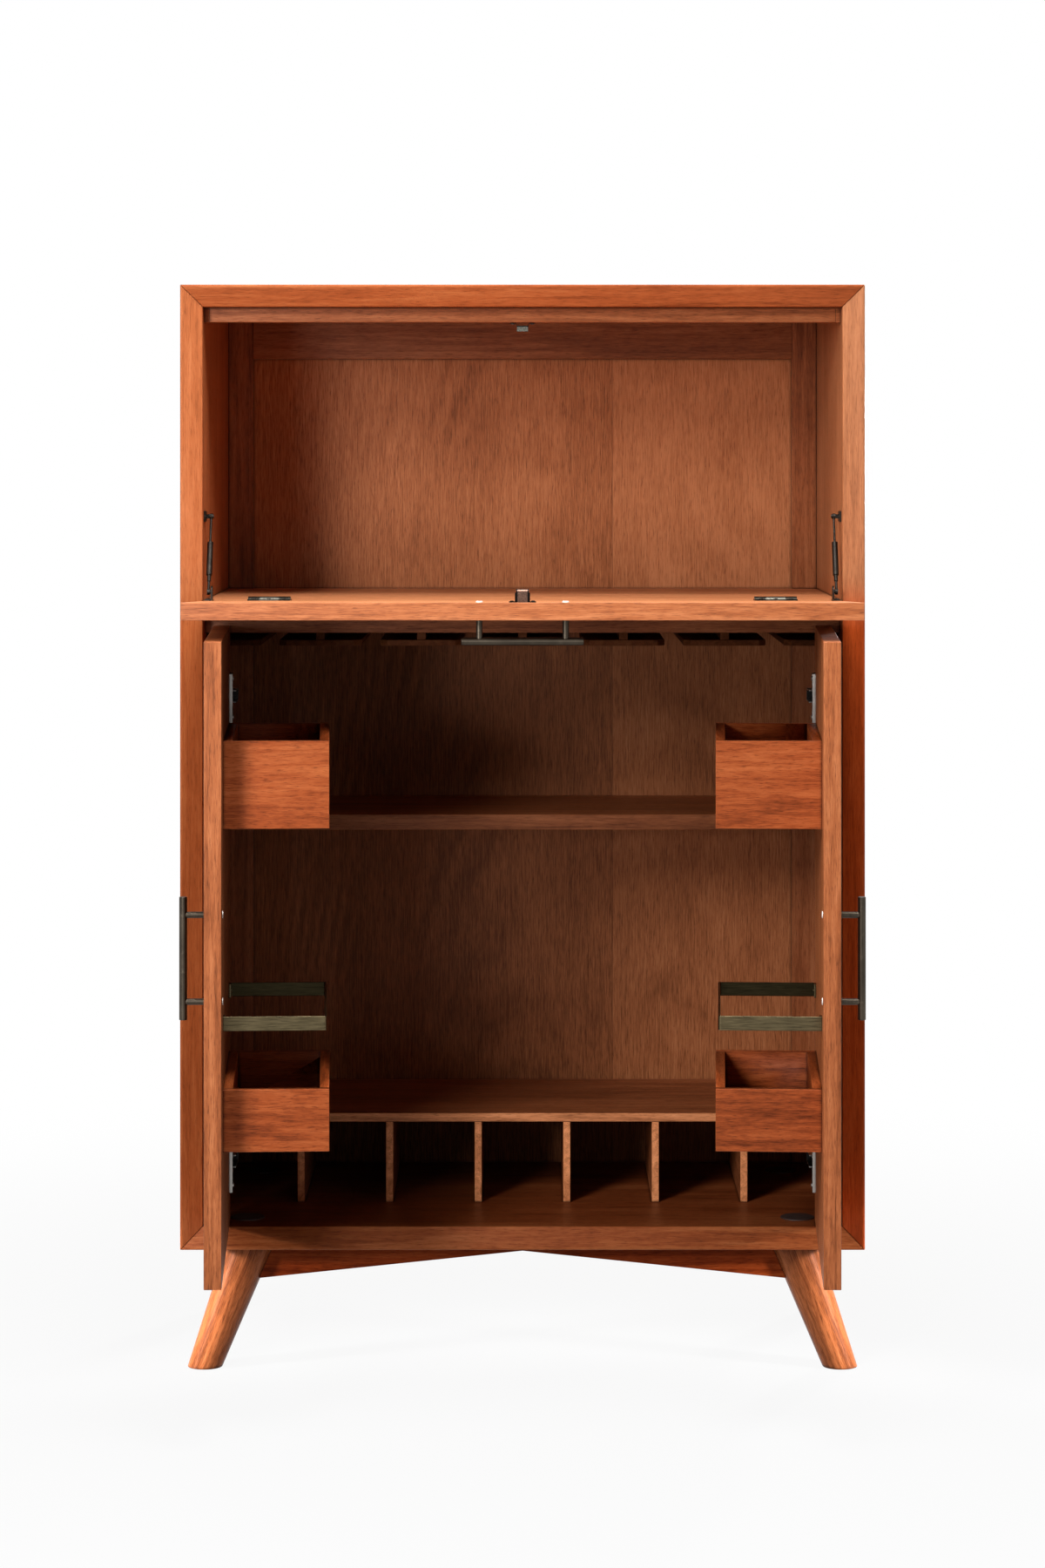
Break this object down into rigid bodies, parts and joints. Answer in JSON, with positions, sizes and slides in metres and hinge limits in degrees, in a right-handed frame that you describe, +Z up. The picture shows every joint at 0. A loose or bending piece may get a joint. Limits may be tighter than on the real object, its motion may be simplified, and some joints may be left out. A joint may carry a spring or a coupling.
{
  "type": "bar armoire",
  "caption": "Free-standing bar cabinet on splayed round legs: a drop front on stays above, doors with bins below, bottle cubbies and a stemware rack inside.",
  "frame": {"origin": "on the floor, under the middle of the box round the open rest pose", "axes": "+X to the viewer's right, +Y to the back, +Z up"},
  "size_m": [0.914, 0.848, 1.46],
  "materials": {
    "wood": "satin reddish-brown lacquer",
    "veneer": "satin reddish-brown veneer with a cathedral figure",
    "dark_bronze": "dark bronze",
    "nickel": "nickel plated",
    "antique_brass": "antique brass",
    "white_plastic": "matte white",
    "dark_plastic": "matte dark brown"
  },
  "bodies": {
    "case": {"legs_front": "wood", "apron_front": "wood", "legs_rear": "wood", "apron_rear": "wood", "case_top": "wood", "case_bottom": "wood", "case_side_left": "wood", "case_side_right": "wood", "back_panel": "veneer", "back_stiles": "wood", "back_rail": "wood", "upper_floor": "wood", "middle_shelf": "wood", "wine_shelf": "wood", "floor_rail": "wood", "top_rail": "wood", "wine_dividers": "wood", "stem_webs": "wood", "stem_slats": "wood", "floor_hinge_leaves": "dark_bronze", "catch_clip": "nickel", "stay_brackets": "dark_bronze", "left_hinge_arms": "nickel", "right_hinge_arms": "nickel"},
    "left_door_body": {"left_door": "wood", "left_pull": "dark_bronze", "left_pull_posts": "dark_bronze", "left_hinge_cups": "nickel", "left_hinge_pins": "nickel", "left_upper_bin": "wood", "left_lower_bin": "wood", "left_bottle_guard": "antique_brass"},
    "right_door_body": {"right_door": "wood", "right_pull": "dark_bronze", "right_pull_posts": "dark_bronze", "right_hinge_cups": "nickel", "right_hinge_pins": "nickel", "right_upper_bin": "wood", "right_lower_bin": "wood", "right_bottle_guard": "antique_brass"},
    "drop_front_body": {"flap": "wood", "flap_pull": "dark_bronze", "flap_pull_posts": "dark_bronze", "flap_hinge_leaves": "dark_bronze", "catch_tongue": "dark_bronze", "stay_feet": "dark_bronze"},
    "left_stay_rod_body": {"left_stay_rod": "dark_bronze"},
    "left_stay_sleeve_body": {"left_stay_sleeve": "dark_bronze"},
    "right_stay_rod_body": {"right_stay_rod": "dark_bronze"},
    "right_stay_sleeve_body": {"right_stay_sleeve": "dark_bronze"}
  },
  "joints": [
    {"name": "left_door_hinge", "type": "hinge", "parent": "case", "child": "left_door_body", "pos_m": [-0.4035, -0.02199, 0.2035], "axis": [0, 0, 1], "range_deg": [-8, 87]},
    {"name": "right_door_hinge", "type": "hinge", "parent": "case", "child": "right_door_body", "pos_m": [0.4035, -0.02199, 0.2035], "axis": [0, 0, -1], "range_deg": [-8, 87]},
    {"name": "drop_front_hinge", "type": "hinge", "parent": "case", "child": "drop_front_body", "pos_m": [0, -0.01099, 1.037], "axis": [-1, 0, 0], "range_deg": [0, 88]},
    {"name": "left_stay_swing", "type": "hinge", "parent": "case", "child": "left_stay_rod_body", "pos_m": [-0.419, -0.00149, 1.15], "axis": [1, 0, 0], "range_deg": [0, 25.86]},
    {"name": "left_stay_slide", "type": "slide", "parent": "left_stay_rod_body", "child": "left_stay_sleeve_body", "axis": [0, 0.4039, 0.9148], "range_m": [0, 0.03134]},
    {"name": "right_stay_swing", "type": "hinge", "parent": "case", "child": "right_stay_rod_body", "pos_m": [0.419, -0.00149, 1.15], "axis": [1, 0, 0], "range_deg": [0, 25.86]},
    {"name": "right_stay_slide", "type": "slide", "parent": "right_stay_rod_body", "child": "right_stay_sleeve_body", "axis": [0, 0.4039, 0.9148], "range_m": [0, 0.03134]}
  ],
  "couplings": [
    {"joint": "left_stay_swing", "follows": "drop_front_hinge", "ratio": 0.29158},
    {"joint": "left_stay_slide", "follows": "drop_front_hinge", "m_per_rad": 0.02021},
    {"joint": "right_stay_swing", "follows": "drop_front_hinge", "ratio": 0.29158},
    {"joint": "right_stay_slide", "follows": "drop_front_hinge", "m_per_rad": 0.02021}
  ]
}
